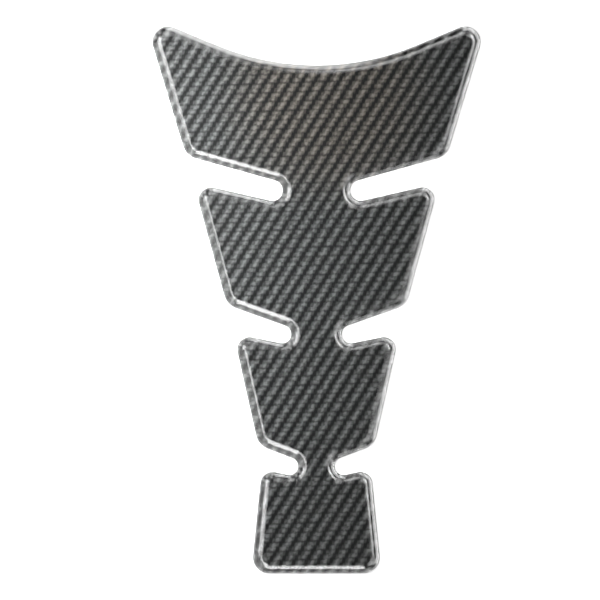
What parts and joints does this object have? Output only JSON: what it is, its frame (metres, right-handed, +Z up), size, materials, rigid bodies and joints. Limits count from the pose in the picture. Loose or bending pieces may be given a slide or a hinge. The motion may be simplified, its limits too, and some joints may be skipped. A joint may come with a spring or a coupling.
{
  "type": "motorcycle tank pad",
  "caption": "Spine-shaped adhesive pad of carbon-look film under a clear domed resin, with pairs of round-ended side notches, to guard a fuel tank from scratches.",
  "frame": {"origin": "middle of the adhesive face, which lies on the surface that the pad is stuck to", "axes": "+X across the pad, +Y along it towards the wide winged end, +Z up out of the resin"},
  "size_m": [0.128, 0.213, 0.0021],
  "materials": {
    "printed_film": "black and grey carbon-weave print on thin vinyl film, satin",
    "clear_resin": "water-clear poured polyurethane, glossy"
  },
  "bodies": {
    "root": {"carbon_film": "printed_film", "clear_dome": "clear_resin"}
  },
  "joints": []
}
